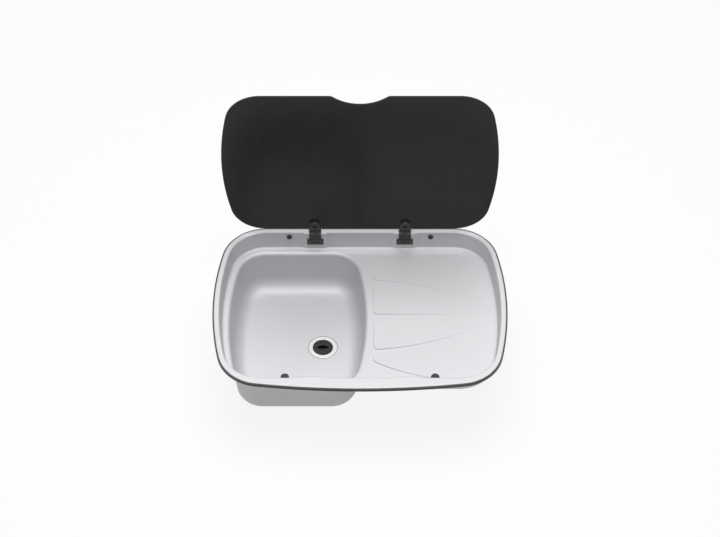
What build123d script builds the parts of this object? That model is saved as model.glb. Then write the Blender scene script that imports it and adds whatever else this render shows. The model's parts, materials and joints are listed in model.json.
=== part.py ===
"""Inset sink and drainer with a hinged glass lid that closes flush into the pressed recess.

Row frame: millimetres, +Z up, +X to the right, -Y to the front. The origin is the centre of the recess on
the worktop surface, which is the plane of the rim seal's underside. The lid is modelled open and upright.
"""

import os
from math import acos, asin, atan, cos, degrees, hypot, radians, sin, sqrt, tan

from build123d import *

# ---------------------------------------------------------------- driving dimensions, mm

# rim and recess
SHEET = 0.8  # thickness of the stainless sheet
RECESS_WIDTH = 668.0  # left to right, at the rim
RECESS_LENGTH = 455.0  # front to back, at the rim
RECESS_CORNER = 90.0  # plan radius of the corners
SIDE_BOW = 740.0  # plan radius of the bowed sides
RECESS_DEPTH = 49.0  # rim to drainer deck
RECESS_DRAFT = 4.4  # the wall's run over that depth
FLANGE_MARGIN = 12.9  # steel flange beyond the recess, at the back and sides
FRONT_EXTRA = 5.0  # how much wider the flange is at its front corners
FRONT_BULGE = 14.2  # how much wider again at the middle of its front
LIP_HEIGHT = 6.0  # turned-down edge of the flange
LIP_BEND = 2.5  # outer radius of that edge
RIM_BEND = 3.0  # radius from the flange into the recess
FOOT_BEND = 4.0  # radius from the recess wall into the deck

# rubber seal round and under the flange
SEAL_PROUD = 3.1  # beyond the steel edge
SEAL_INSET = 9.0  # under the flange, inwards of the steel edge
SEAL_STEP = 1.4  # its outer wall stops this far below the rim
SEAL_FOOT = 3.0  # solid rubber below the turned-down edge
SEAL_FIN = 4.0  # height of the inner fin
SEAL_GRIP = 2.2  # space between outer wall and inner fin
SEAL_ROUND = 0.8

DECK_Y = -3.2  # middle of the bowl, drainer panels and waste, in front of the recess's middle

# bowl
BOWL_WIDTH = 325.0
BOWL_SIDE_LEDGE = 22.5  # recess to the bowl's left edge
BOWL_END_LEDGE = 22.8  # recess to the bowl's front and back edges, on average
BOWL_DEPTH = 112.2  # deck to bowl floor
BOWL_DRAFT = 6.9
BOWL_LIP = 8.0  # radius from the deck into the bowl
BOWL_FLOOR_BEND = 35.5

# drainer panels pressed up out of the deck
PANEL_GAP = 17.5  # bowl to the left ends of the panels
PANEL_FADE = 43.0  # recess to where they have sunk into the deck, at the right
PANEL_RISE = 2.6  # height at the left end
PANEL_CORNER = 12.0
PANEL_TAPER = 25.0  # slope of the panels' edges from upright, degrees
PANEL_GROOVE = 15.0  # middle groove, along the drainer
FAN_R = 594.0  # inner edge of the curved grooves
FAN_LEDGE = 123.5  # recess to the middle of that edge
FAN_BEHIND = 39.0  # its centre, left of the panels
FAN_GROOVE = 14.5
ARC_R = 440.0  # outermost edge of the panels
ARC_LEDGE = 33.5
ARC_AHEAD = 214.3  # its centre, right of the panels' left ends

# hinge pads pressed into both long walls, so that the pressing can be used either way round
HINGE_X = 110.0  # hinge centres, left and right of the middle
PAD_WIDTH = 60.0
PAD_PROUD = 3.5
PAD_SHOULDER = 6.0
PAD_SOFTENING = 9.0

# lid
LID_GAP = 6.7  # between glass and recess, at the sides
LID_END_GAP = 8.5  # the same, at the front and back
GLASS = 5.0
LID_BELOW_RIM = 1.0  # top of the closed glass below the rim
NOTCH_WIDTH = 131.0
NOTCH_DEPTH = 24.4
NOTCH_SHOULDER = 16.0
GLASS_EDGE = 0.8

# hinge
PIVOT_BEHIND_RECESS = 6.1  # pivot behind the edge of the recess
PIVOT_ABOVE_RIM = 8.5
PIN_R = 2.5
PIN_RUNNING = 0.05  # radial clearance of the moving knuckle
KNUCKLE_R = 5.5
HINGE_WIDTH = 29.2
KNUCKLE_OUTER = 8.6  # width of each fixed knuckle
PIN_END = 0.6  # pin beyond each fixed knuckle
PIN_CHAMFER = 0.4
WASHER = 0.8
WASHER_GAP = 0.1
WASHER_INSET = 0.3  # washer smaller than the knuckle
STRAP = 3.5  # thickness of the strap on the wall
STRAP_ON_RIM = 2.5
STRAP_BEND = 4.5  # radius where it turns down the wall
STRAP_FOOT = 15.4  # its thick part ends this far below the rim, along the wall
STRAP_ROUND = 0.9
RIDGE = 3.3  # height and run of the slope in front of the moving knuckle
RIDGE_BACK = 1.5
NECK = 1.8  # thickness between strap and plate
NECK_LAP = 1.0
PLATE_WIDTH = 40.0
PLATE_HEIGHT = 16.7
PLATE_TOP = 16.6  # below the rim, along the wall
PLATE = 3.0
PLATE_CORNER = 2.5
PLATE_ROUND = 0.6
SCREW_SPACING = 28.0
SCREW_IN_PLATE = 7.6  # below the plate's top
SCREW_R = 2.0
SCREW_HEAD_R = 3.4
SCREW_HEAD = 1.2
SCREW_HEAD_ROUND = 0.8
SCREW_CLEAR = 0.2
CROSS = 3.8
CROSS_WIDTH = 0.9
CROSS_DEPTH = 0.8
BACKING = 2.0
NUT_R = 4.2
NUT_HEIGHT = 3.5
ARM_WEB = 4.0
ARM_OVER_STRAP = 4.5  # closed arm above the strap
ARM_STEP_GAP = 1.0  # and in front of it
ARM_PAD = 4.0
HEEL = 5.4
HEEL_GAP = 0.15

# glass clamp at each hinge
CLAMP_IN = 15.3  # hole centre from the glass's back edge
CLAMP_R = 12.6
CLAMP_SKIRT = 8.8  # straight sides, from the hole centre towards the hinge
CLAMP_CORNER = 2.0
CLAMP_DISC = 5.4
CLAMP_ROUND = 1.8
GASKET_RIM = 1.4  # front gasket beyond the disc
FRONT_GASKET = 1.2
REAR_GASKET = 1.0
GLASS_HOLE_R = 6.0
SLEEVE_CLEAR = 0.1
CLAMP_SCREW_R = 3.0
CLAMP_HEAD_R = 4.4
CLAMP_HEAD = 2.4
CLAMP_SINK = 4.2
CLAMP_SINK_R = 5.6
HEX_R = 2.2
HEX_DEPTH = 1.5

# wall plugs at the back, lid rests at the front
REST_X = 173.4
REST_DOWN = 13.5  # hole centre below the rim, along the wall
REST_HOLE_R = 4.0
REST_STEM_GAP = 0.05
PLUG_DOME_R = 6.6
PLUG_DOME = 4.8
PLUG_DOME_ROUND = 4.4
BARB_R = 5.2
BARB_TIP_R = 2.8
BARB = 4.0
REST_WIDTH = 19.6
REST_REACH = 17.5
REST_HEIGHT = 15.5
REST_ROUND = 1.5
REST_CLEAR = 0.3  # between closed glass and rest

# waste fitting
DRAIN_IN = 58.6  # right of the bowl's middle
SEAT_R = 35.7  # stamped seat in the bowl's floor
SEAT_DEPTH = 3.0
SEAT_BEND = 1.5
SEAT_FOOT_BEND = 0.8
DRAIN_HOLE_R = 27.1
FLANGE_R = 34.2
FLANGE_PLATE = 1.8
FLANGE_ROUND = 0.8
UPPER_GASKET = 1.0
CUP_R = 25.7
CUP_WALL = 1.1
CUP_LEDGE = 2.2  # step the plug sits on
CUP_DEPTH = 13.0
STRAINER = 1.5
STRAINER_SLOTS = 8
SLOT_WIDTH = 4.0
SLOT_IN = 9.5
SLOT_OUT = 20.0
LOWER_GASKET = 2.5
LOWER_GASKET_R = 34.0
BODY_FLANGE_R = 36.0
BODY_FLANGE = 4.0
BODY_WALL = 3.4
BODY_CLEAR = 0.6
BODY_DEPTH = 19.0
FUNNEL = 11.0
SPIGOT_R = 12.5
SPIGOT_BORE_R = 10.0
SPIGOT_LENGTH = 28.0
SPIGOT_END = 1.2
SPIDER_ARMS = 3
SPIDER_WIDTH = 4.0
SPIDER_HEIGHT = 8.0
SPIDER_BELOW_CUP = 1.0
BOSS_R = 6.0
DRAIN_SCREW_R = 3.0
DRAIN_HEAD_R = 5.5
DRAIN_HEAD = 2.6
DRAIN_HEAD_ROUND = 1.0

# drain plug
PLUG_R = 23.6
PLUG_RECESS = 0.4  # its face below the flange's face
PLUG_THICK = 9.0
PLUG_GAP = 0.15  # between plug and ledge
PLUG_EDGE = 1.2
GRIP_LENGTH = 30.4
GRIP_WIDTH = 12.6
GRIP_DEPTH = 7.0
GRIP_TIP = 1.0
RING_R = 1.4
RING_FIT = 0.3  # between seal ring and cup

# ---------------------------------------------------------------- levels and places worked out from them

SEAL_HEIGHT = SEAL_FOOT + LIP_HEIGHT  # worktop to rim
RIM_Z = SEAL_HEIGHT
DECK_Z = RIM_Z - RECESS_DEPTH
FLOOR_Z = DECK_Z - BOWL_DEPTH
WALL_LEAN = atan(RECESS_DRAFT / RECESS_DEPTH)  # lean of the recess wall from upright

HALF_WIDTH = RECESS_WIDTH / 2
HALF_LENGTH = RECESS_LENGTH / 2
CORNER_Y = HALF_LENGTH - RECESS_CORNER


def corner_x_for(half_width, corner_y, corner, bow):
    """Centre of a corner arc that is tangent to the bowed side inside it."""
    return half_width - bow + sqrt((bow - corner) ** 2 - corner_y**2)


CORNER_X = corner_x_for(HALF_WIDTH, CORNER_Y, RECESS_CORNER, SIDE_BOW)

GLASS_TOP_Z = RIM_Z - LID_BELOW_RIM  # closed
GLASS_MID_Z = GLASS_TOP_Z - GLASS / 2
GLASS_UNDER_Z = GLASS_TOP_Z - GLASS
GLASS_BACK_Y = HALF_LENGTH - LID_END_GAP  # closed
PIVOT_Y = HALF_LENGTH + PIVOT_BEHIND_RECESS
PIVOT_Z = RIM_Z + PIVOT_ABOVE_RIM

# the upright lid: its closed layout turned back by 90 degrees about the pivot
LID_Y = PIVOT_Y + GLASS_MID_Z - PIVOT_Z
LID_CENTRE_Z = PIVOT_Z + PIVOT_Y
LID_FRONT_Y = LID_Y - GLASS / 2
LID_REAR_Y = LID_Y + GLASS / 2
CLAMP_Y = GLASS_BACK_Y - CLAMP_IN  # closed

BOWL_LENGTH = RECESS_LENGTH - 2 * BOWL_END_LEDGE
BOWL_CORNER = RECESS_CORNER - BOWL_END_LEDGE
BOWL_X = BOWL_SIDE_LEDGE + BOWL_WIDTH / 2 - HALF_WIDTH
PANEL_X = BOWL_X + BOWL_WIDTH / 2 + PANEL_GAP
PANEL_FADE_X = HALF_WIDTH - PANEL_FADE
DRAIN_X = BOWL_X + DRAIN_IN

PAD_Y = HALF_LENGTH - PAD_PROUD
SEAT_Z = FLOOR_Z - SEAT_DEPTH
FLANGE_TOP_Z = SEAT_Z + UPPER_GASKET + FLANGE_PLATE
SCREW_DOWN = PLATE_TOP + SCREW_IN_PLATE  # bracket screws below the rim, along the wall
SIDES = {"left": -1, "right": 1}
LAP = 10.0  # how far solids that are joined or cut run into each other
TINY = 0.001


def wall_plane(wall_y, side=1):
    """Plane on a long wall: local x along the wall, local y up it, local z out into the recess."""
    return Plane(
        origin=(0, side * wall_y, RIM_Z),
        x_dir=(side, 0, 0),
        z_dir=(0, -side * cos(WALL_LEAN), sin(WALL_LEAN)),
    )


def deck_plane(x, z):
    """Level plane on the middle line of the bowl and the drainer."""
    return Plane(origin=(x, DECK_Y, z))


PAD_PLANE = wall_plane(PAD_Y)
BACK_WALL = wall_plane(HALF_LENGTH)
FRONT_WALL = wall_plane(HALF_LENGTH, -1)


os.makedirs("parts", exist_ok=True)


def save(part, name):
    part.label = name
    export_step(part, f"parts/{name}.step")


# ---------------------------------------------------------------- plan outlines


def bowed_outline(corner_x, corner_y, corner, bow, grow=0.0, front=(0.0, 0.0), pads=False, mode=Mode.ADD):
    """Face of a rounded oblong with bowed sides, in the sketch that is open.

    grow moves the whole edge outwards, front moves the front corners outwards and bows the front, pads draws
    both long edges inwards at the hinges.
    """
    extra, bulge = front
    r = corner + grow
    side_r = bow + grow
    side_x = corner_x - sqrt((side_r - r) ** 2 - corner_y**2)
    side_angle = degrees(acos((corner_x - side_x) / (side_r - r)))
    front_y = corner_y + extra
    front_x = side_x + sqrt((side_r - r) ** 2 - front_y**2)
    front_angle = degrees(acos((front_x - side_x) / (side_r - r)))
    back = corner_y + r
    with BuildLine() as edge:
        long_edge(corner_x, back, 1, grow, pads)
        CenterArc((corner_x, corner_y), r, side_angle, 90 - side_angle)
        CenterArc((side_x, 0), side_r, -front_angle, side_angle + front_angle)
        if bulge:
            arc_r = front_x**2 / (2 * bulge) + r + bulge / 2
            arc_y = arc_r - front_y - r - bulge
            meet = degrees(acos((front_y + arc_y) / (arc_r - r)))
            CenterArc((front_x, -front_y), r, meet - 90, 90 - meet - front_angle)
            CenterArc((0, arc_y), arc_r, -90, meet)
        else:
            CenterArc((corner_x, -corner_y), r, -90, 90 - side_angle)
            long_edge(corner_x, back, -1, grow, pads)
        mirror(about=Plane.YZ)
    make_face(edge.edges(), mode=mode)


def long_edge(corner_x, back, side, grow, pads):
    """Half of a long edge, from the middle out to the corner arc, with a hinge pad if there are pads."""
    if not pads:
        Line((0, side * back), (corner_x, side * back))
        return
    slope = atan(PAD_PROUD / PAD_SHOULDER)
    shift = grow * tan(slope / 2)
    near = HINGE_X - PAD_WIDTH / 2 + shift
    far = HINGE_X + PAD_WIDTH / 2 - shift
    pad = back - PAD_PROUD
    FilletPolyline(
        (0, side * back),
        (near, side * back),
        (near + PAD_SHOULDER, side * pad),
        (far - PAD_SHOULDER, side * pad),
        (far, side * back),
        (corner_x, side * back),
        radius=PAD_SOFTENING,
    )


def recess_outline(grow=0.0, front=(0.0, 0.0), pads=False, mode=Mode.ADD):
    bowed_outline(CORNER_X, CORNER_Y, RECESS_CORNER, SIDE_BOW, grow, front, pads, mode)


def glass_outline():
    corner_y = CORNER_Y - LID_END_GAP + LID_GAP
    bowed_outline(CORNER_X, corner_y, RECESS_CORNER, SIDE_BOW, -LID_GAP)


def steel_outline(grow=0.0, mode=Mode.ADD):
    recess_outline(FLANGE_MARGIN + grow, (FRONT_EXTRA, FRONT_BULGE), mode=mode)


def bowl_outline(grow=0.0):
    corner_y = BOWL_LENGTH / 2 - BOWL_CORNER
    bow = SIDE_BOW - BOWL_SIDE_LEDGE
    corner_x = corner_x_for(BOWL_WIDTH / 2, corner_y, BOWL_CORNER, bow)
    bowed_outline(corner_x, corner_y, BOWL_CORNER, bow, grow)


# ---------------------------------------------------------------- sink pressing


def fan_circle(radius, mode):
    with Locations((PANEL_X - FAN_BEHIND, HALF_LENGTH - FAN_LEDGE - FAN_R)):
        Circle(radius, mode=mode)


def inner_panel(inset):
    """Plan of the panel between the middle groove and a curved groove, drawn in by inset."""
    low = PANEL_GROOVE / 2 + inset
    with BuildSketch(mode=Mode.PRIVATE) as panel:
        with Locations((PANEL_X + inset, low)):
            Rectangle(PANEL_FADE_X - PANEL_X - inset, CORNER_Y, align=(Align.MIN, Align.MIN))
        fan_circle(FAN_R - inset, Mode.INTERSECT)
        fillet(panel.vertices().group_by(Axis.X)[0], PANEL_CORNER - inset)
    add(panel.sketch)


def outer_panel(inset):
    """Plan of the panel beyond that curved groove."""
    with BuildSketch(mode=Mode.PRIVATE) as panel:
        with Locations((PANEL_X + inset, 0)):
            Rectangle(PANEL_FADE_X - PANEL_X - inset, HALF_LENGTH, align=(Align.MIN, Align.MIN))
        with Locations((PANEL_X + ARC_AHEAD, HALF_LENGTH - ARC_LEDGE - ARC_R)):
            Circle(ARC_R - inset, mode=Mode.INTERSECT)
        fan_circle(FAN_R + FAN_GROOVE + inset, Mode.SUBTRACT)
        fillet(panel.vertices().group_by(Axis.X)[0], PANEL_CORNER - inset)
    add(panel.sketch)


def drainer_panels(grow):
    """The raised panels, with tops that slope down into the deck at their right ends."""
    base = DECK_Z - grow
    foot_inset = grow * tan(radians(PANEL_TAPER) / 2)
    top_inset = foot_inset + PANEL_RISE * tan(radians(PANEL_TAPER))
    slope_normal = (PANEL_RISE, 0, PANEL_FADE_X - PANEL_X)
    with BuildPart() as panels:
        for draw_panel in (inner_panel, outer_panel):
            with BuildSketch(deck_plane(0, base)):
                draw_panel(foot_inset)
            with BuildSketch(deck_plane(0, base + PANEL_RISE)):
                draw_panel(top_inset)
            loft(ruled=True)
        split(bisect_by=Plane(origin=(PANEL_FADE_X, 0, base), z_dir=slope_normal), keep=Keep.BOTTOM)
        mirror(about=Plane.XZ.offset(-DECK_Y))
    return panels.part


def bowl_form(grow):
    """The bowl and its stamped drain seat, from a little above the deck down."""
    floor = FLOOR_Z - grow
    lean = BOWL_DRAFT / BOWL_DEPTH
    with BuildPart() as bowl:
        with BuildSketch(deck_plane(BOWL_X, DECK_Z + LAP)):
            bowl_outline(grow + LAP * lean)
        with BuildSketch(deck_plane(BOWL_X, floor)):
            bowl_outline(grow - (BOWL_DEPTH + grow) * lean)
        loft(ruled=True)
        fillet(bowl.faces().sort_by(Axis.Z)[0].edges(), BOWL_FLOOR_BEND + grow)
        with BuildSketch(deck_plane(DRAIN_X, SEAT_Z - grow)):
            Circle(SEAT_R + grow)
        extrude(amount=SEAT_DEPTH + LAP)
        fillet(bowl.faces().filter_by(Plane.XY).sort_by(Axis.Z)[1].inner_wires()[0].edges(), SEAT_BEND - grow)
        fillet(bowl.faces().sort_by(Axis.Z)[0].edges(), SEAT_FOOT_BEND + grow)
    return bowl.part


def basin_form(grow):
    """Everything below the rim: recess, bowl and panels.

    Without grow it is the hollow, which is the upper surface of the sheet. Grown by the sheet's thickness
    it is the outside.
    """
    base = DECK_Z - grow
    with BuildPart() as basin:
        with BuildSketch(Plane.XY.offset(RIM_Z)):
            recess_outline(grow, pads=True)
        with BuildSketch(Plane.XY.offset(base)):
            recess_outline(grow - (RIM_Z - base) * tan(WALL_LEAN), pads=True)
        loft(ruled=True)
        fillet(basin.faces().sort_by(Axis.Z)[0].edges(), FOOT_BEND + grow)
        add(bowl_form(grow))
        deck = basin.faces().filter_by(lambda f: abs(f.center().Z - base) < TINY and f.inner_wires())[0]
        fillet(deck.inner_wires()[0].edges(), BOWL_LIP - grow)
        add(drainer_panels(grow), mode=Mode.SUBTRACT)
    return basin.part


OUTSIDE = basin_form(SHEET)

with BuildPart() as hollow:
    add(basin_form(0))
    with BuildSketch(Plane.XY.offset(RIM_Z)):
        steel_outline(LAP)
    extrude(amount=LAP)
    mouth = hollow.faces().filter_by(lambda f: abs(f.center().Z - RIM_Z) < TINY and f.inner_wires())[0]
    fillet(mouth.inner_wires()[0].edges(), RIM_BEND)

with BuildPart() as under_flange:
    with BuildSketch(Plane.XY.offset(RIM_Z - LIP_HEIGHT)):
        steel_outline(-SHEET)
    extrude(amount=LIP_HEIGHT - SHEET)
    add(OUTSIDE, mode=Mode.SUBTRACT)
    fillet(under_flange.faces().sort_by(Axis.Z)[-1].outer_wire().edges(), LIP_BEND - SHEET)
    fillet(under_flange.faces().sort_by(Axis.Z)[-1].inner_wires()[0].edges(), RIM_BEND - SHEET)

with BuildPart() as sink_pressing:
    with BuildSketch(Plane.XY.offset(RIM_Z - LIP_HEIGHT)):
        steel_outline()
    extrude(amount=LIP_HEIGHT)
    fillet(sink_pressing.faces().sort_by(Axis.Z)[-1].edges(), LIP_BEND)
    add(OUTSIDE)
    add(under_flange.part, mode=Mode.SUBTRACT)
    add(hollow.part, mode=Mode.SUBTRACT)
    with BuildSketch(deck_plane(DRAIN_X, SEAT_Z)):
        Circle(DRAIN_HOLE_R)
    extrude(amount=-2 * SHEET, mode=Mode.SUBTRACT)
    with BuildSketch(PAD_PLANE):
        for sign in SIDES.values():
            with Locations((sign * HINGE_X, -SCREW_DOWN)):
                with GridLocations(SCREW_SPACING, 0, 2, 1):
                    Circle(SCREW_R + SCREW_CLEAR)
    extrude(amount=2 * SHEET, both=True, mode=Mode.SUBTRACT)
    for wall in (BACK_WALL, FRONT_WALL):
        with BuildSketch(wall):
            with Locations((0, -REST_DOWN)):
                with GridLocations(2 * REST_X, 0, 2, 1):
                    Circle(REST_HOLE_R)
        extrude(amount=2 * SHEET, both=True, mode=Mode.SUBTRACT)
save(sink_pressing.part, "sink_pressing")

# ---------------------------------------------------------------- rim seal

with BuildPart() as rim_seal:
    with BuildSketch():
        steel_outline(SEAL_PROUD)
        steel_outline(-SEAL_INSET, mode=Mode.SUBTRACT)
    extrude(amount=SEAL_FOOT)
    with BuildSketch(Plane.XY.offset(SEAL_FOOT)):
        steel_outline(SEAL_PROUD)
        steel_outline(mode=Mode.SUBTRACT)
    extrude(amount=LIP_HEIGHT - SEAL_STEP)
    with BuildSketch(Plane.XY.offset(SEAL_FOOT)):
        steel_outline(-SEAL_GRIP)
        steel_outline(-SEAL_INSET, mode=Mode.SUBTRACT)
    extrude(amount=SEAL_FIN)
    fillet(rim_seal.faces().sort_by(Axis.Z)[-1].outer_wire().edges(), SEAL_ROUND)
    fillet(rim_seal.faces().sort_by(Axis.Z)[0].outer_wire().edges(), SEAL_ROUND)
save(rim_seal.part, "rim_seal")

# ---------------------------------------------------------------- glass lid


def lid_plane(y):
    """Plane on the upright lid for the closed lid's plan: local x is X, local y is the closed lid's Y."""
    return Plane(origin=(0, y, LID_CENTRE_Z), x_dir=(1, 0, 0), z_dir=(0, 1, 0))


def upright(y, z):
    """Where a point of the closed lid's side view, y and z, stands on the upright lid."""
    return (PIVOT_Y + z - PIVOT_Z, PIVOT_Z + PIVOT_Y - y)


with BuildPart() as lid_glass:
    with BuildSketch(lid_plane(LID_Y)) as glass_plan:
        glass_outline()
        notch_r = (NOTCH_WIDTH**2 / 4 + NOTCH_DEPTH**2) / (2 * NOTCH_DEPTH)
        with Locations((0, NOTCH_DEPTH - notch_r - GLASS_BACK_Y)):
            Circle(notch_r, mode=Mode.SUBTRACT)
        front_edge = glass_plan.vertices().group_by(Axis.Y)[0]
        fillet(front_edge.filter_by(lambda v: abs(v.X) < NOTCH_WIDTH), NOTCH_SHOULDER)
        with Locations((0, CLAMP_Y)):
            with GridLocations(2 * HINGE_X, 0, 2, 1):
                Circle(GLASS_HOLE_R, mode=Mode.SUBTRACT)
    extrude(amount=GLASS / 2, both=True)
    broad = lid_glass.faces().filter_by(Axis.Y)
    chamfer(broad[0].outer_wire().edges() + broad[1].outer_wire().edges(), GLASS_EDGE)
save(lid_glass.part, "lid_glass")

# ---------------------------------------------------------------- hinges


def on_pad(down, out):
    """Side view point, y and z, at a distance down the hinge pad and out from it."""
    y = PAD_Y - down * sin(WALL_LEAN) - out * cos(WALL_LEAN)
    z = RIM_Z - down * cos(WALL_LEAN) + out * sin(WALL_LEAN)
    return (y, z)


STRAP_TOP_Z = RIM_Z + STRAP_ON_RIM
STRAP_FRONT = on_pad((STRAP * sin(WALL_LEAN) - STRAP_ON_RIM) / cos(WALL_LEAN), STRAP)
STRAP_FLAT_Y = STRAP_FRONT[0] + STRAP_BEND
STRAP_BACK_Y = HALF_LENGTH + FLANGE_MARGIN - LIP_BEND
KNUCKLE_MIDDLE = (HINGE_WIDTH - KNUCKLE_OUTER) / 2  # middle of a fixed knuckle, from the hinge's middle
ARM_HALF = HINGE_WIDTH / 2 - KNUCKLE_OUTER - WASHER - WASHER_GAP  # half width of the moving knuckle


def side_view(x):
    """Plane across a hinge: local x is Y, local y is Z."""
    return Plane.YZ.offset(x)


def bracket_screw_spots(x):
    return [(x + side * SCREW_SPACING / 2, -SCREW_DOWN) for side in SIDES.values()]


def knuckle_slope():
    """Where a line from the strap's top, at the start of its bend, touches the knuckle from above."""
    run = PIVOT_Y - STRAP_FLAT_Y
    rise = PIVOT_Z - STRAP_TOP_Z
    angle = atan(rise / run) + asin(KNUCKLE_R / hypot(run, rise))
    length = sqrt(run**2 + rise**2 - KNUCKLE_R**2)
    return (STRAP_FLAT_Y + length * cos(angle), STRAP_TOP_Z + length * sin(angle))


def hinge_bracket(x):
    """Fixed half: wall plate, strap bent over the rim, and two outer knuckles with sloped fronts."""
    knuckle_foot_z = RIM_Z + STRAP_ON_RIM / 2
    with BuildPart() as bracket:
        with BuildSketch(side_view(x)) as strap:
            foot_edge = on_pad(STRAP_FOOT, STRAP)
            with BuildLine():
                Polyline(
                    on_pad(PLATE_TOP + NECK_LAP, 0),
                    (PAD_Y, RIM_Z),
                    (STRAP_BACK_Y, RIM_Z),
                    (STRAP_BACK_Y, STRAP_TOP_Z),
                    (STRAP_FLAT_Y + RIDGE + RIDGE_BACK, STRAP_TOP_Z),
                    (STRAP_FLAT_Y + RIDGE, STRAP_TOP_Z + RIDGE),
                    (STRAP_FLAT_Y, STRAP_TOP_Z),
                    STRAP_FRONT,
                    foot_edge,
                    on_pad(STRAP_FOOT, NECK),
                    on_pad(PLATE_TOP + NECK_LAP, NECK),
                    close=True,
                )
            make_face()
            fillet(strap.vertices().sort_by_distance((PAD_Y, RIM_Z))[0], RIM_BEND)
            fillet(strap.vertices().sort_by_distance(STRAP_FRONT)[0], STRAP_BEND - TINY)
            fillet(strap.vertices().sort_by_distance(foot_edge)[0], STRAP_ROUND)
        extrude(amount=HINGE_WIDTH / 2, both=True)
        with BuildSketch(PAD_PLANE):
            with Locations((x, -PLATE_TOP)):
                RectangleRounded(PLATE_WIDTH, PLATE_HEIGHT, PLATE_CORNER, align=(Align.CENTER, Align.MAX))
        extrude(amount=PLATE)
        fillet(bracket.faces().sort_by(Axis.Y)[0].edges(), PLATE_ROUND)
        for side in SIDES.values():
            with BuildSketch(side_view(x + side * KNUCKLE_MIDDLE)):
                with Locations((PIVOT_Y, PIVOT_Z)):
                    Circle(KNUCKLE_R)
                with BuildLine():
                    Polyline(
                        (STRAP_FLAT_Y, knuckle_foot_z),
                        (STRAP_FLAT_Y, STRAP_TOP_Z),
                        knuckle_slope(),
                        (PIVOT_Y, PIVOT_Z),
                        (PIVOT_Y + KNUCKLE_R, PIVOT_Z),
                        (PIVOT_Y + KNUCKLE_R, knuckle_foot_z),
                        close=True,
                    )
                make_face()
            extrude(amount=KNUCKLE_OUTER / 2, both=True)
        with BuildSketch(side_view(x)):
            with Locations((PIVOT_Y, PIVOT_Z)):
                Circle(PIN_R)
        extrude(amount=HINGE_WIDTH, both=True, mode=Mode.SUBTRACT)
        with BuildSketch(PAD_PLANE):
            with Locations(bracket_screw_spots(x)):
                Circle(SCREW_R + SCREW_CLEAR)
        extrude(amount=LAP, both=True, mode=Mode.SUBTRACT)
    return bracket.part


def hinge_pin(x):
    with BuildPart() as pin:
        with BuildSketch(side_view(x)):
            with Locations((PIVOT_Y, PIVOT_Z)):
                Circle(PIN_R)
        extrude(amount=HINGE_WIDTH / 2 + PIN_END, both=True)
        chamfer(pin.edges().filter_by(GeomType.CIRCLE), PIN_CHAMFER)
    return pin.part


def hinge_washers(x):
    """The two friction washers between the fixed knuckles and the moving one."""
    with BuildPart() as washers:
        for side in SIDES.values():
            with BuildSketch(side_view(x + side * (ARM_HALF + WASHER_GAP + WASHER / 2))):
                with Locations((PIVOT_Y, PIVOT_Z)):
                    Circle(KNUCKLE_R - WASHER_INSET)
                    Circle(PIN_R + PIN_RUNNING, mode=Mode.SUBTRACT)
            extrude(amount=WASHER / 2, both=True)
    return washers.part


def hinge_arm(x):
    """Moving half: middle knuckle with its stop heel, web over the rim and pad behind the glass."""
    web_z = STRAP_TOP_Z + ARM_OVER_STRAP
    pad_z = GLASS_TOP_Z + REAR_GASKET
    step_y = STRAP_FRONT[0] - ARM_STEP_GAP
    with BuildPart() as arm:
        with BuildSketch(side_view(x)):
            with BuildLine():
                Polyline(
                    upright(PIVOT_Y, web_z),
                    upright(step_y, web_z),
                    upright(step_y, pad_z),
                    upright(CLAMP_Y, pad_z),
                    upright(CLAMP_Y, pad_z + ARM_PAD),
                    upright(step_y - ARM_WEB, web_z + ARM_WEB),
                    upright(PIVOT_Y, web_z + ARM_WEB),
                    close=True,
                )
            make_face()
            with Locations((PIVOT_Y, PIVOT_Z)):
                Circle(KNUCKLE_R)
                Rectangle(HEEL, PIVOT_Z - STRAP_TOP_Z - HEEL_GAP, align=(Align.MIN, Align.MAX))
        extrude(amount=ARM_HALF, both=True)
        with BuildSketch(lid_plane(LID_REAR_Y + REAR_GASKET)):
            with BuildLine():
                Polyline(
                    (x - CLAMP_R, CLAMP_Y),
                    (x - ARM_HALF, step_y),
                    (x + ARM_HALF, step_y),
                    (x + CLAMP_R, CLAMP_Y),
                    close=True,
                )
            make_face()
            with Locations((x, CLAMP_Y)):
                Circle(CLAMP_R)
        extrude(amount=ARM_PAD)
        with BuildSketch(side_view(x)):
            with Locations((PIVOT_Y, PIVOT_Z)):
                Circle(PIN_R + PIN_RUNNING)
        extrude(amount=HINGE_WIDTH, both=True, mode=Mode.SUBTRACT)
        with BuildSketch(lid_plane(LID_REAR_Y)):
            with Locations((x, CLAMP_Y)):
                Circle(CLAMP_SCREW_R)
        extrude(amount=LAP, mode=Mode.SUBTRACT)
    return arm.part


def ring_on_lid(x, y, thickness, radius, bore, skirt=0.0):
    """Ring on a clamp's axis, from y towards the back of the upright lid, in the part that is open.

    A skirt gives it straight sides towards the hinge, like an arch.
    """
    with BuildSketch(lid_plane(y)) as ring:
        with Locations((x, CLAMP_Y)):
            Circle(radius)
            if skirt:
                Rectangle(2 * radius, skirt, align=(Align.CENTER, Align.MIN))
                fillet(ring.vertices().group_by(Axis.Y)[-1], CLAMP_CORNER)
            Circle(bore, mode=Mode.SUBTRACT)
    extrude(ring.sketch, amount=thickness)


def lid_gaskets(x):
    """The two gasket rings, in front of the glass and behind it."""
    with BuildPart() as gaskets:
        front_y = LID_FRONT_Y - FRONT_GASKET
        ring_on_lid(x, front_y, FRONT_GASKET, CLAMP_R + GASKET_RIM, GLASS_HOLE_R, CLAMP_SKIRT)
        ring_on_lid(x, LID_REAR_Y, REAR_GASKET, CLAMP_R, GLASS_HOLE_R)
    return gaskets.part


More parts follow.
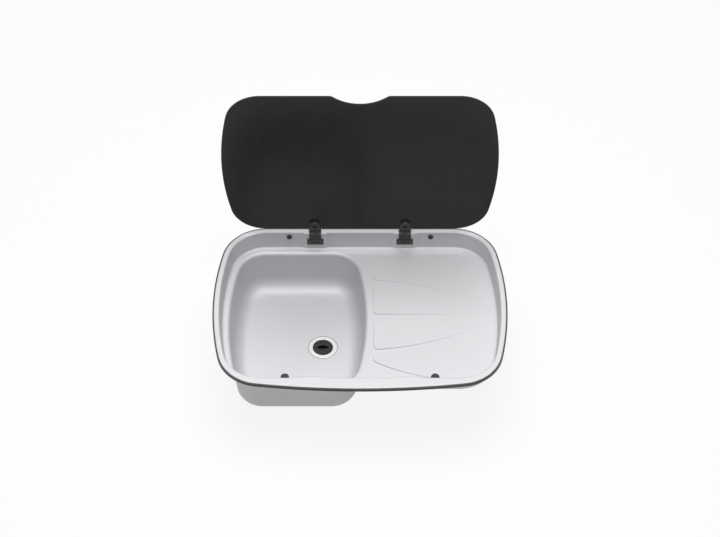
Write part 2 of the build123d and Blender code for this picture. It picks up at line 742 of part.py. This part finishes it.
def lid_sleeve(x):
    """Plastic sleeve that keeps the clamp screw off the glass."""
    length = FRONT_GASKET + GLASS + REAR_GASKET
    front_y = LID_FRONT_Y - FRONT_GASKET
    with BuildPart() as sleeve:
        ring_on_lid(x, front_y, length, GLASS_HOLE_R - SLEEVE_CLEAR, CLAMP_SCREW_R + SCREW_CLEAR)
    return sleeve.part


CLAMP_FACE_Y = LID_FRONT_Y - FRONT_GASKET - CLAMP_DISC


def clamp_disc(x):
    with BuildPart() as clamp:
        ring_on_lid(x, CLAMP_FACE_Y, CLAMP_DISC, CLAMP_R, CLAMP_SCREW_R + SCREW_CLEAR, CLAMP_SKIRT)
        fillet(clamp.faces().sort_by(Axis.Y)[0].outer_wire().edges(), CLAMP_ROUND)
        with BuildSketch(lid_plane(CLAMP_FACE_Y)):
            with Locations((x, CLAMP_Y)):
                Circle(CLAMP_SINK_R)
        extrude(amount=CLAMP_SINK, mode=Mode.SUBTRACT)
    return clamp.part


def clamp_screw(x):
    """Socket screw from the disc through the glass into the arm."""
    seat_y = CLAMP_FACE_Y + CLAMP_SINK
    with BuildPart() as screw:
        with BuildSketch(lid_plane(seat_y - CLAMP_HEAD)):
            with Locations((x, CLAMP_Y)):
                Circle(CLAMP_HEAD_R)
        extrude(amount=CLAMP_HEAD)
        with BuildSketch(lid_plane(seat_y)):
            with Locations((x, CLAMP_Y)):
                Circle(CLAMP_SCREW_R)
        extrude(amount=LID_REAR_Y + REAR_GASKET + ARM_PAD - seat_y)
        with BuildSketch(lid_plane(seat_y - CLAMP_HEAD)):
            with Locations((x, CLAMP_Y)):
                RegularPolygon(HEX_R, 6)
        extrude(amount=HEX_DEPTH, mode=Mode.SUBTRACT)
    return screw.part


def cross_recess(plane, spots):
    """Cross recesses cut into screw heads in the part that is open."""
    with BuildSketch(plane) as cross:
        with Locations(spots):
            Rectangle(CROSS, CROSS_WIDTH)
            Rectangle(CROSS_WIDTH, CROSS)
    extrude(cross.sketch, amount=-CROSS_DEPTH, mode=Mode.SUBTRACT)


def hinge_screws(x):
    """The two screws of a bracket, run into the backing plate's nuts."""
    spots = bracket_screw_spots(x)
    with BuildPart() as screws:
        with BuildSketch(PAD_PLANE.offset(PLATE)):
            with Locations(spots):
                Circle(SCREW_HEAD_R)
        extrude(amount=SCREW_HEAD)
        fillet(screws.edges().group_by(Axis.Y)[0], SCREW_HEAD_ROUND)
        with BuildSketch(PAD_PLANE.offset(PLATE)):
            with Locations(spots):
                Circle(SCREW_R)
        extrude(amount=-(PLATE + SHEET + BACKING + NUT_HEIGHT))
        cross_recess(PAD_PLANE.offset(PLATE + SCREW_HEAD), spots)
    return screws.part


def hinge_backing_plate(x):
    """Plate with two welded nuts behind the sheet."""
    spots = bracket_screw_spots(x)
    with BuildPart() as backing:
        with BuildSketch(PAD_PLANE.offset(-SHEET)):
            with Locations((x, -PLATE_TOP)):
                RectangleRounded(PLATE_WIDTH, PLATE_HEIGHT, PLATE_CORNER, align=(Align.CENTER, Align.MAX))
        extrude(amount=-BACKING)
        with BuildSketch(PAD_PLANE.offset(-SHEET - BACKING)):
            with Locations(spots):
                Circle(NUT_R)
        extrude(amount=-NUT_HEIGHT)
        with BuildSketch(PAD_PLANE):
            with Locations(spots):
                Circle(SCREW_R)
        extrude(amount=-LAP, mode=Mode.SUBTRACT)
    return backing.part


for name, sign in SIDES.items():
    save(hinge_bracket(sign * HINGE_X), f"hinge_bracket_{name}")
    save(hinge_pin(sign * HINGE_X), f"hinge_pin_{name}")
    save(hinge_washers(sign * HINGE_X), f"hinge_washers_{name}")
    save(hinge_screws(sign * HINGE_X), f"hinge_screws_{name}")
    save(hinge_backing_plate(sign * HINGE_X), f"hinge_backing_plate_{name}")
    save(hinge_arm(sign * HINGE_X), f"hinge_arm_{name}")
    save(lid_gaskets(sign * HINGE_X), f"lid_gaskets_{name}")
    save(lid_sleeve(sign * HINGE_X), f"lid_sleeve_{name}")
    save(clamp_disc(sign * HINGE_X), f"lid_clamp_disc_{name}")
    save(clamp_screw(sign * HINGE_X), f"lid_clamp_screw_{name}")

# ---------------------------------------------------------------- wall plugs and lid rests


def snap_stem(wall, x):
    """Stem and barb through the wall at x, in the part that is open."""
    along = x * wall.x_dir.X
    with BuildSketch(wall) as stem:
        with Locations((along, -REST_DOWN)):
            Circle(REST_HOLE_R - REST_STEM_GAP)
    extrude(stem.sketch, amount=-SHEET)
    with BuildSketch(wall.offset(-SHEET)) as barb:
        with Locations((along, -REST_DOWN)):
            Circle(BARB_R)
    with BuildSketch(wall.offset(-SHEET - BARB)) as tip:
        with Locations((along, -REST_DOWN)):
            Circle(BARB_TIP_R)
    loft([barb.sketch, tip.sketch])


def wall_plug(x):
    """Domed plug in a rest hole that is not used."""
    with BuildPart() as plug:
        with BuildSketch(BACK_WALL):
            with Locations((x, -REST_DOWN)):
                Circle(PLUG_DOME_R)
        extrude(amount=PLUG_DOME)
        fillet(plug.faces().sort_by(Axis.Y)[0].edges(), PLUG_DOME_ROUND)
        snap_stem(BACK_WALL, x)
    return plug.part


def lid_rest(x):
    """Half-round buffer on the front wall that carries the front of the closed glass."""
    top_z = GLASS_UNDER_Z - REST_CLEAR
    nose_y = REST_REACH - HALF_LENGTH - REST_WIDTH / 2
    with BuildPart() as rest:
        with BuildSketch(Plane.XY.offset(top_z - REST_HEIGHT)):
            with Locations((x, nose_y)):
                Circle(REST_WIDTH / 2)
                Rectangle(REST_WIDTH, REST_REACH, align=(Align.CENTER, Align.MAX))
        extrude(amount=REST_HEIGHT)
        fillet(rest.faces().sort_by(Axis.Z)[-1].edges(), REST_ROUND)
        fillet(rest.faces().sort_by(Axis.Z)[0].edges(), REST_ROUND)
        split(bisect_by=FRONT_WALL, keep=Keep.TOP)
        snap_stem(FRONT_WALL, x)
    return rest.part


for name, sign in SIDES.items():
    save(wall_plug(sign * REST_X), f"wall_plug_{name}")
    save(lid_rest(sign * REST_X), f"lid_rest_{name}")

# ---------------------------------------------------------------- waste fitting

DRAIN_AXIS = Axis((DRAIN_X, DECK_Y, 0), (0, 0, 1))
PLATE_FOOT_Z = SEAT_Z + UPPER_GASKET
CUP_BORE_R = CUP_R - CUP_WALL
LEDGE_R = CUP_BORE_R - CUP_LEDGE
STRAINER_FOOT_Z = PLATE_FOOT_Z - CUP_DEPTH
STRAINER_TOP_Z = STRAINER_FOOT_Z + STRAINER
PLUG_TOP_Z = FLANGE_TOP_Z - PLUG_RECESS
PLUG_FOOT_Z = PLUG_TOP_Z - PLUG_THICK
LEDGE_Z = PLUG_FOOT_Z - PLUG_GAP
BODY_TOP_Z = SEAT_Z - SHEET - LOWER_GASKET
TUBE_BORE_R = CUP_R + BODY_CLEAR
SPIDER_TOP_Z = STRAINER_FOOT_Z - SPIDER_BELOW_CUP


def turned(*profile):
    """Solid turned about the drain's axis, in the part that is open, from points of radius and height."""
    with BuildSketch(Plane(origin=(DRAIN_X, DECK_Y, 0), x_dir=(1, 0, 0), z_dir=(0, -1, 0))) as section:
        with BuildLine():
            Polyline(*profile, close=True)
        make_face()
    revolve(section.sketch, axis=DRAIN_AXIS)


def turned_ring(inner, outer, foot, top):
    with BuildPart() as ring:
        turned((inner, foot), (outer, foot), (outer, top), (inner, top))
    return ring.part


with BuildPart() as drain_flange:
    turned(
        (0, STRAINER_TOP_Z),
        (LEDGE_R, STRAINER_TOP_Z),
        (LEDGE_R, LEDGE_Z),
        (CUP_BORE_R, LEDGE_Z),
        (CUP_BORE_R, FLANGE_TOP_Z),
        (FLANGE_R, FLANGE_TOP_Z),
        (FLANGE_R, PLATE_FOOT_Z),
        (CUP_R, PLATE_FOOT_Z),
        (CUP_R, LEDGE_Z - CUP_WALL),
        (LEDGE_R + CUP_WALL, LEDGE_Z - CUP_WALL),
        (LEDGE_R + CUP_WALL, STRAINER_FOOT_Z),
        (0, STRAINER_FOOT_Z),
    )
    fillet(drain_flange.faces().sort_by(Axis.Z)[-1].edges(), FLANGE_ROUND)
    with BuildSketch(deck_plane(DRAIN_X, STRAINER_TOP_Z)):
        Circle(DRAIN_SCREW_R + SCREW_CLEAR)
        with PolarLocations((SLOT_IN + SLOT_OUT) / 2, STRAINER_SLOTS):
            SlotOverall(SLOT_OUT - SLOT_IN, SLOT_WIDTH)
    extrude(amount=-STRAINER, mode=Mode.SUBTRACT)
save(drain_flange.part, "drain_flange")

save(turned_ring(DRAIN_HOLE_R, FLANGE_R - FLANGE_ROUND, SEAT_Z, PLATE_FOOT_Z), "drain_upper_gasket")
save(turned_ring(DRAIN_HOLE_R, LOWER_GASKET_R, BODY_TOP_Z, SEAT_Z - SHEET), "drain_lower_gasket")

with BuildPart() as drain_body:
    tube_r = TUBE_BORE_R + BODY_WALL
    slope = FUNNEL / (tube_r - SPIGOT_R)
    cone_wall = BODY_WALL * sqrt(1 + slope**2)  # measured upright
    cone_top = BODY_TOP_Z - BODY_DEPTH
    spigot_top = cone_top - FUNNEL
    spigot_foot = spigot_top - SPIGOT_LENGTH
    turned(
        (TUBE_BORE_R, BODY_TOP_Z),
        (BODY_FLANGE_R, BODY_TOP_Z),
        (BODY_FLANGE_R, BODY_TOP_Z - BODY_FLANGE),
        (tube_r, BODY_TOP_Z - BODY_FLANGE),
        (tube_r, cone_top),
        (SPIGOT_R, spigot_top),
        (SPIGOT_R, spigot_foot + SPIGOT_END),
        (SPIGOT_R - SPIGOT_END / 2, spigot_foot),
        (SPIGOT_BORE_R, spigot_foot),
        (SPIGOT_BORE_R, spigot_top + cone_wall - (SPIGOT_R - SPIGOT_BORE_R) * slope),
        (TUBE_BORE_R, cone_top + cone_wall - BODY_WALL * slope),
    )
    with BuildSketch(deck_plane(DRAIN_X, SPIDER_TOP_Z)):
        Circle(BOSS_R)
        with PolarLocations(0, SPIDER_ARMS):
            Rectangle(TUBE_BORE_R + BODY_WALL / 2, SPIDER_WIDTH, align=(Align.MIN, Align.CENTER))
        Circle(DRAIN_SCREW_R, mode=Mode.SUBTRACT)
    extrude(amount=-SPIDER_HEIGHT)
save(drain_body.part, "drain_body")

with BuildPart() as drain_screw:
    with BuildSketch(deck_plane(DRAIN_X, STRAINER_TOP_Z)):
        Circle(DRAIN_HEAD_R)
    extrude(amount=DRAIN_HEAD)
    fillet(drain_screw.faces().sort_by(Axis.Z)[-1].edges(), DRAIN_HEAD_ROUND)
    with BuildSketch(deck_plane(DRAIN_X, STRAINER_TOP_Z)):
        Circle(DRAIN_SCREW_R)
    extrude(amount=SPIDER_TOP_Z - SPIDER_HEIGHT - STRAINER_TOP_Z)
    cross_recess(deck_plane(DRAIN_X, STRAINER_TOP_Z + DRAIN_HEAD), [(0, 0)])
save(drain_screw.part, "drain_screw")

# ---------------------------------------------------------------- drain plug

RING_CENTRE_R = CUP_BORE_R - RING_FIT - RING_R
RING_Z = PLUG_FOOT_Z + PLUG_THICK / 2

with BuildPart() as drain_plug:
    turned(
        (0, PLUG_FOOT_Z),
        (PLUG_R, PLUG_FOOT_Z),
        (PLUG_R, RING_Z - RING_R),
        (RING_CENTRE_R - RING_R, RING_Z - RING_R),
        (RING_CENTRE_R - RING_R, RING_Z + RING_R),
        (PLUG_R, RING_Z + RING_R),
        (PLUG_R, PLUG_TOP_Z - PLUG_EDGE),
        (PLUG_R - PLUG_EDGE, PLUG_TOP_Z),
        (0, PLUG_TOP_Z),
    )
    with BuildSketch(deck_plane(DRAIN_X, PLUG_TOP_Z)) as grip:
        grip_r = (GRIP_LENGTH**2 + GRIP_WIDTH**2) / (4 * GRIP_WIDTH)
        with Locations((0, grip_r - GRIP_WIDTH / 2)):
            Circle(grip_r)
        with Locations((0, GRIP_WIDTH / 2 - grip_r)):
            Circle(grip_r, mode=Mode.INTERSECT)
        fillet(grip.vertices(), GRIP_TIP)
    extrude(amount=-GRIP_DEPTH, mode=Mode.SUBTRACT)
save(drain_plug.part, "drain_plug")

with BuildPart() as drain_plug_seal:
    with Locations((DRAIN_X, DECK_Y, RING_Z)):
        Torus(RING_CENTRE_R, RING_R)
save(drain_plug_seal.part, "drain_plug_seal")
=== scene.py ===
import json
from math import radians

import bpy
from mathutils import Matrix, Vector


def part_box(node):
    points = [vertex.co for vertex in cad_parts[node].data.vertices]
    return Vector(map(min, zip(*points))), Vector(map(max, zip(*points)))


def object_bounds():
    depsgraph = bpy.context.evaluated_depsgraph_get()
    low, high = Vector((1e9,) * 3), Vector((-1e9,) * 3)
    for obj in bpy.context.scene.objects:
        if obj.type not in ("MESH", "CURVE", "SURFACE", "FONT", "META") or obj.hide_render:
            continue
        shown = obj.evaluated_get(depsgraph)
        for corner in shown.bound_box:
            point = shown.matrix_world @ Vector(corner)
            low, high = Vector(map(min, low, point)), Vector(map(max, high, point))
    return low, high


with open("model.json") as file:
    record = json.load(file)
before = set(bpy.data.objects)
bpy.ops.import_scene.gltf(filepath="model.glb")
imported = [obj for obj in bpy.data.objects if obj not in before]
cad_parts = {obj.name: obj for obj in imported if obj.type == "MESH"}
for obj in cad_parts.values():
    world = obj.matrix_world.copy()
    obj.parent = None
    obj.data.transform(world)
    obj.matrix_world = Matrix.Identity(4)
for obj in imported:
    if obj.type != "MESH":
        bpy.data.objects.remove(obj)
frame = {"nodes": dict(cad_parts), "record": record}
cad_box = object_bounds()

# ---------------------------------------------------------------- camera, floor and light, lengths in metres

CAMERA_AT = (0.0, -3.0899, 3.5603)
CAMERA_DOWN = 47.9855  # degrees below level
CAMERA_REACH = 100
PHOTO_WIDTH = 720  # pixels
FOCAL_PIXELS = 1981.08
SENSOR = 36.0  # mm

FLOOR_SIZE = 40.0
FLOOR_GAP = 0.0005  # below the lowest point of the object
FLOOR_COLOR = (0.95, 0.95, 0.95, 1)
FLOOR_SHADOW = 0.12  # share of the floor's white that light and shadow decide

LAMP_AT = (0.0, 0.1, 3.2)
LAMP_AIM = (0, 0, 0)
LAMP_SIZE = 3.0
LAMP_POWER = 122  # watts
BODY_LIGHT = 0.1  # what the world gives matt surfaces

# ---------------------------------------------------------------- looks; noise scales are per metre

NOISE_LOW = 0.3  # most of a noise lies between these two
NOISE_HIGH = 0.7
ROUGHNESS_SPREAD = 0.05
BUMP_HEIGHT = 0.0001  # metres

STEEL = (0.6, 0.6, 0.615)
STEEL_DARK = (0.585, 0.585, 0.603)
STEEL_LIGHT = (0.615, 0.615, 0.633)
STEEL_ROUGHNESS = 0.6
STEEL_PATCHES = 9
STEEL_GRAIN = 900
STEEL_GRAIN_DETAIL = 4
STEEL_GRAIN_DRAWN = (0.08, 1, 1)  # grain drawn out along X
STEEL_BUMP = 0.04

SATIN_METAL = 0.35  # the sheet and the drain ring mirror only weakly
RING = (0.9, 0.9, 0.9)
RING_ROUGHNESS = 0.35
RING_GRAIN = 600

PLAIN_STEEL = (0.55, 0.55, 0.56)
PLAIN_ROUGHNESS = 0.35
PLAIN_SPREAD = 0.07
PLAIN_GRAIN = 700

GLASS = (0.009, 0.009, 0.01)
GLASS_DARK = (0.008, 0.008, 0.009)
GLASS_LIGHT = (0.011, 0.011, 0.012)
GLASS_ROUGHNESS = 0.25
GLASS_SPREAD = 0.03
GLASS_SHINE = 0.3
GLASS_PATCHES = 4
GLASS_HAZE = 3

BLACK_SPREAD = 0.15  # share by which a black surface's patches differ from its colour
BLACK_PATCHES = 60
BLACK_PITS = 1800
BLACK_BUMP = 0.08

PLUG_LOOK = ("plug_plastic", (0.034, 0.034, 0.0335), 0.55)
PLUG_SHINE = 0.15
# painted shade: the plug's finger hollow is coloured black below its face, standing in for the shade in it
HOLLOW_SHADE_COLOR = (0.004, 0.004, 0.004, 1)
HOLLOW_SHADE_START = 0.0004  # metres below the plug's face, where the painted shade in its hollow begins
HOLLOW_SHADE_FULL = 0.0012  # and where the painted shade is full black

# material, colour and roughness for each slot
BLACK_LOOKS = {
    "black_coated_metal": ("black_coating", (0.022, 0.022, 0.023), 0.28),
    "seal_rubber": ("seal_rubber", (0.045, 0.045, 0.043), 0.62),
    "black_rubber": ("black_rubber", (0.012, 0.012, 0.012), 0.6),
    "black_plastic": ("black_plastic", (0.025, 0.025, 0.025), 0.45),
    "dark_screw_steel": ("dark_screw_steel", (0.02, 0.02, 0.02), 0.3),
}
# painted light: the bracket plates' screws get a lighter copy of the dark screw colour, as they catch more
# light than the clamps'
LIT_SCREW_LOOK = ("lit_screw_steel", (0.1, 0.1, 0.1), 0.35)


# ---------------------------------------------------------------- camera, floor and light


def add_camera():
    data = bpy.data.cameras.new("camera")
    data.sensor_width = SENSOR
    data.lens = FOCAL_PIXELS / PHOTO_WIDTH * SENSOR
    data.clip_end = CAMERA_REACH
    camera = bpy.data.objects.new("camera", data)
    camera.location = CAMERA_AT
    camera.rotation_euler = (radians(90 - CAMERA_DOWN), 0, 0)
    bpy.context.scene.collection.objects.link(camera)
    bpy.context.scene.camera = camera


def add_lamp():
    data = bpy.data.lights.new("overhead", "AREA")
    data.shape = "DISK"
    data.size = LAMP_SIZE
    data.energy = LAMP_POWER
    lamp = bpy.data.objects.new("overhead", data)
    lamp.location = LAMP_AT
    aim = Vector(LAMP_AIM) - Vector(LAMP_AT)
    lamp.rotation_euler = aim.to_track_quat("-Z", "Y").to_euler()
    bpy.context.scene.collection.objects.link(lamp)


def where_seen(nodes, links, unseen, seen):
    """One level for camera, glossy and transmission rays, and another for the rays that light things."""
    path = nodes.new("ShaderNodeLightPath")
    total = path.outputs["Is Camera Ray"]
    for name in ("Is Glossy Ray", "Is Transmission Ray"):
        add = nodes.new("ShaderNodeMath")
        add.operation = "ADD"
        add.use_clamp = True
        links.new(total, add.inputs[0])
        links.new(path.outputs[name], add.inputs[1])
        total = add.outputs[0]
    level = nodes.new("ShaderNodeMapRange")
    level.inputs["To Min"].default_value = unseen
    level.inputs["To Max"].default_value = seen
    links.new(total, level.inputs["Value"])
    return level.outputs["Result"]


def light_world():
    world = bpy.data.worlds.new("studio")
    world.use_nodes = True
    nodes, links = world.node_tree.nodes, world.node_tree.links
    background = nodes["Background"]
    background.inputs["Color"].default_value = (1, 1, 1, 1)
    links.new(where_seen(nodes, links, BODY_LIGHT, 1.0), background.inputs["Strength"])
    bpy.context.scene.world = world


def add_floor():
    bpy.ops.mesh.primitive_plane_add(size=FLOOR_SIZE, location=(0, 0, cad_box[0][2] - FLOOR_GAP))
    floor = bpy.context.object
    floor.name = "floor"
    material = bpy.data.materials.new("floor")
    material.use_nodes = True
    nodes, links = material.node_tree.nodes, material.node_tree.links
    nodes.clear()
    surface = nodes.new("ShaderNodeOutputMaterial")
    matt = nodes.new("ShaderNodeBsdfDiffuse")
    matt.inputs["Color"].default_value = FLOOR_COLOR
    glow = nodes.new("ShaderNodeEmission")
    glow.inputs["Strength"].default_value = 1.0
    mix = nodes.new("ShaderNodeMixShader")
    links.new(where_seen(nodes, links, 0.0, 1 - FLOOR_SHADOW), mix.inputs["Fac"])
    links.new(matt.outputs[0], mix.inputs[1])
    links.new(glow.outputs[0], mix.inputs[2])
    links.new(mix.outputs[0], surface.inputs["Surface"])
    floor.data.materials.append(material)


# ---------------------------------------------------------------- materials


def new_material(name, color, roughness, metallic=0.0):
    material = bpy.data.materials.new(name)
    material.use_nodes = True
    shader = inputs_of(material)
    shader["Base Color"].default_value = (*color, 1)
    shader["Metallic"].default_value = metallic
    shader["Roughness"].default_value = roughness
    return material


def inputs_of(material):
    return material.node_tree.nodes["Principled BSDF"].inputs


def noise(material, scale, detail=3.0, drawn=(1, 1, 1)):
    nodes, links = material.node_tree.nodes, material.node_tree.links
    place = nodes.new("ShaderNodeTexCoord")
    mapping = nodes.new("ShaderNodeMapping")
    mapping.inputs["Scale"].default_value = drawn
    texture = nodes.new("ShaderNodeTexNoise")
    texture.inputs["Scale"].default_value = scale
    texture.inputs["Detail"].default_value = detail
    links.new(place.outputs["Object"], mapping.inputs["Vector"])
    links.new(mapping.outputs["Vector"], texture.inputs["Vector"])
    return texture.outputs["Fac"]


def vary_roughness(material, value, roughness, spread=ROUGHNESS_SPREAD):
    nodes, links = material.node_tree.nodes, material.node_tree.links
    level = nodes.new("ShaderNodeMapRange")
    level.inputs["From Min"].default_value = NOISE_LOW
    level.inputs["From Max"].default_value = NOISE_HIGH
    level.inputs["To Min"].default_value = roughness - spread
    level.inputs["To Max"].default_value = roughness + spread
    links.new(value, level.inputs["Value"])
    links.new(level.outputs["Result"], inputs_of(material)["Roughness"])


def vary_color(material, value, dark, light):
    nodes, links = material.node_tree.nodes, material.node_tree.links
    mix = nodes.new("ShaderNodeMix")
    mix.data_type = "RGBA"
    mix.inputs["A"].default_value = (*dark, 1)
    mix.inputs["B"].default_value = (*light, 1)
    links.new(value, mix.inputs["Factor"])
    links.new(mix.outputs["Result"], inputs_of(material)["Base Color"])


def bump(material, value, strength):
    nodes, links = material.node_tree.nodes, material.node_tree.links
    node = nodes.new("ShaderNodeBump")
    node.inputs["Strength"].default_value = strength
    node.inputs["Distance"].default_value = BUMP_HEIGHT
    links.new(value, node.inputs["Height"])
    links.new(node.outputs["Normal"], inputs_of(material)["Normal"])


def satin_steel():
    material = new_material("satin_steel", STEEL, STEEL_ROUGHNESS, SATIN_METAL)
    grain = noise(material, STEEL_GRAIN, STEEL_GRAIN_DETAIL, STEEL_GRAIN_DRAWN)
    vary_color(material, noise(material, STEEL_PATCHES), STEEL_DARK, STEEL_LIGHT)
    vary_roughness(material, grain, STEEL_ROUGHNESS)
    bump(material, grain, STEEL_BUMP)
    return material


def polished_steel():
    material = new_material("polished_steel", RING, RING_ROUGHNESS, SATIN_METAL)
    vary_roughness(material, noise(material, RING_GRAIN), RING_ROUGHNESS)
    return material


def plain_steel():
    material = new_material("plain_steel", PLAIN_STEEL, PLAIN_ROUGHNESS, metallic=1.0)
    vary_roughness(material, noise(material, PLAIN_GRAIN), PLAIN_ROUGHNESS, PLAIN_SPREAD)
    return material


def tinted_glass():
    material = new_material("tinted_glass", GLASS, GLASS_ROUGHNESS)
    vary_color(material, noise(material, GLASS_PATCHES, detail=0.0), GLASS_DARK, GLASS_LIGHT)
    vary_roughness(material, noise(material, GLASS_HAZE, detail=0.0), GLASS_ROUGHNESS, GLASS_SPREAD)
    inputs_of(material)["Specular IOR Level"].default_value = GLASS_SHINE
    return material


def black_surface(name, color, roughness):
    material = new_material(name, color, roughness)
    pits = noise(material, BLACK_PITS)
    dark = tuple((1 - BLACK_SPREAD) * c for c in color)
    light = tuple((1 + BLACK_SPREAD) * c for c in color)
    vary_color(material, noise(material, BLACK_PATCHES), dark, light)
    vary_roughness(material, pits, roughness)
    bump(material, pits, BLACK_BUMP)
    return material


def plug_plastic():
    """Dark grey plastic, with painted shade: its colour turns black in the hollow that fingers reach into.
    """
    material = black_surface(*PLUG_LOOK)
    nodes, links = material.node_tree.nodes, material.node_tree.links
    inputs = inputs_of(material)
    inputs["Specular IOR Level"].default_value = PLUG_SHINE
    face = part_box("drain_plug")[1][2]
    # painted shade: below the plug's face the colour mixes to black
    place = nodes.new("ShaderNodeTexCoord")
    split = nodes.new("ShaderNodeSeparateXYZ")
    height = nodes.new("ShaderNodeMapRange")
    height.inputs["From Min"].default_value = face - HOLLOW_SHADE_FULL
    height.inputs["From Max"].default_value = face - HOLLOW_SHADE_START
    mix = nodes.new("ShaderNodeMix")
    mix.data_type = "RGBA"
    mix.inputs["A"].default_value = HOLLOW_SHADE_COLOR
    links.new(place.outputs["Object"], split.inputs["Vector"])
    links.new(split.outputs["Z"], height.inputs["Value"])
    links.new(height.outputs["Result"], mix.inputs["Factor"])
    links.new(inputs["Base Color"].links[0].from_socket, mix.inputs["B"])
    links.new(mix.outputs["Result"], inputs["Base Color"])
    return material


def dress():
    """Give every node the material of its slot in the record, except the bracket plates' screws, which get a
    lighter copy of dark screw steel as painted light.
    """
    finishes = {
        "steel_sheet": satin_steel(),
        "polished_steel": polished_steel(),
        "plain_steel": plain_steel(),
        "tinted_glass": tinted_glass(),
        "plug_plastic": plug_plastic(),
    }
    for slot, look in BLACK_LOOKS.items():
        finishes[slot] = black_surface(*look)
    lit_screw = black_surface(*LIT_SCREW_LOOK)
    for entry in frame["record"]["subparts"]:
        slots = frame["nodes"][entry["node"]].data.materials
        slots.clear()
        # painted light: plate screws get the lighter screw copy in place of their slot's material
        is_plate_screw = entry["node"].startswith("hinge_screws")
        slots.append(lit_screw if is_plate_screw else finishes[entry["material_slot"]])


bpy.context.scene.view_settings.view_transform = "Standard"
add_camera()
light_world()
add_floor()
add_lamp()
dress()
